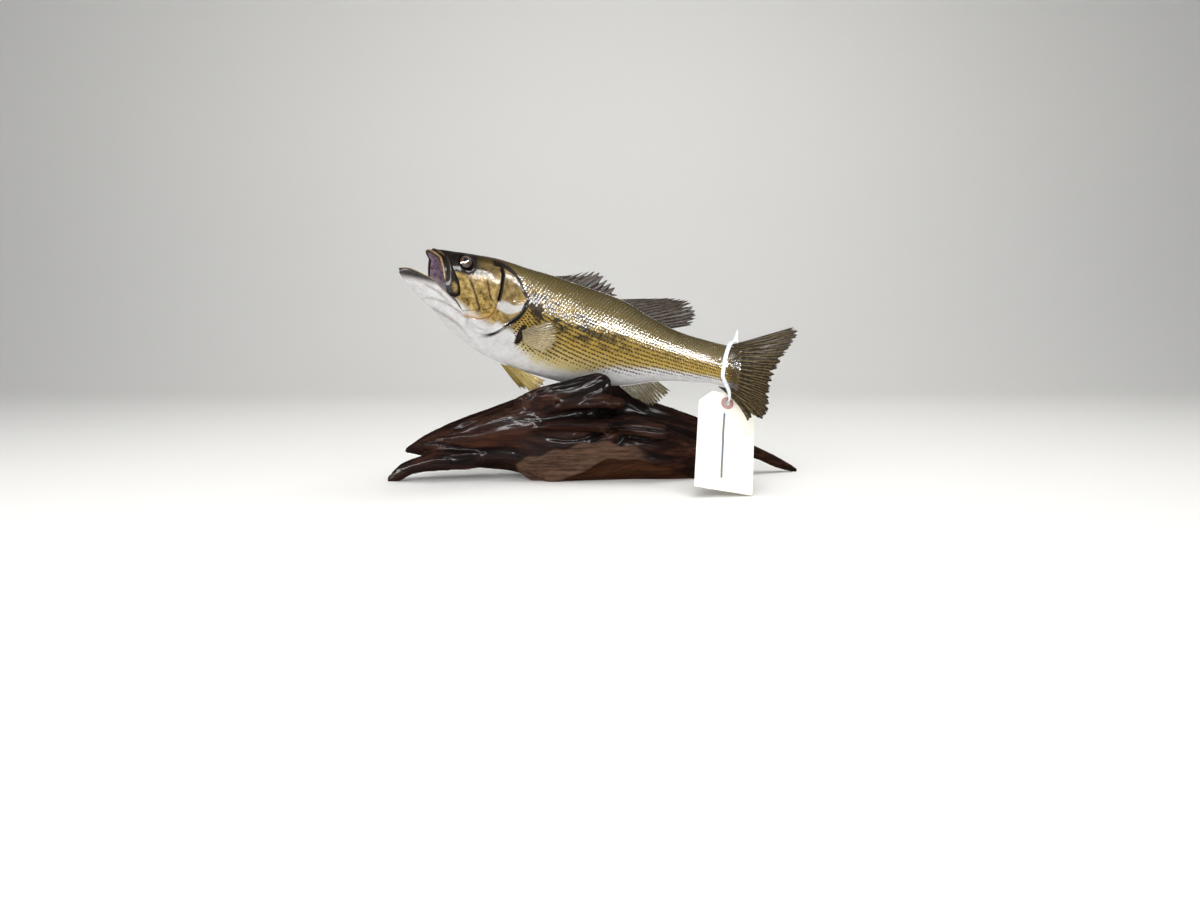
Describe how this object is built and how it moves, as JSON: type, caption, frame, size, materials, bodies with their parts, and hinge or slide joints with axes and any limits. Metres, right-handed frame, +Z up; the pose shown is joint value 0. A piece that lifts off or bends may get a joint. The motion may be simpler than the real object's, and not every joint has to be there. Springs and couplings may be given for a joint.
{
  "type": "mounted largemouth bass on driftwood",
  "caption": "Largemouth bass with its mouth open and its body curved, fixed on a lacquered driftwood base, with a bare card tag strapped round its tail.",
  "frame": {"origin": "middle of the footprint of the whole, on the surface that the driftwood stands on", "axes": "+X from the fish's head towards its tail, +Z up, -Y out of the side that the fish's left flank shows"},
  "size_m": [0.508, 0.203, 0.2706],
  "materials": {
    "skin": "scaled and lacquered, olive back, golden flank, silvery belly",
    "mouth": "smooth, satin",
    "eye": "polished",
    "fin": "lacquered, dry and frayed",
    "wood": "lacquered, grooved along the grain",
    "strap": "cloudy",
    "card": "matt card, a little soiled",
    "patch": "matt"
  },
  "bodies": {
    "root": {"head": "skin", "trunk": "skin", "tail_stalk": "skin", "lower_jaw": "skin", "upper_lip": "skin", "maxilla_left": "skin", "maxilla_right": "skin", "gill_cover_left": "skin", "gill_cover_right": "skin", "tongue": "mouth", "eye_left": "eye", "eye_right": "eye", "fin_dorsal_spiny": "fin", "fin_dorsal_soft": "fin", "fin_anal": "fin", "fin_caudal": "fin", "fin_pectoral_left": "fin", "fin_pectoral_right": "fin", "fin_pelvic_left": "fin", "fin_pelvic_right": "fin", "driftwood": "wood", "tag_loop": "strap", "tag_card": "card", "tag_patch": "patch"}
  },
  "joints": []
}
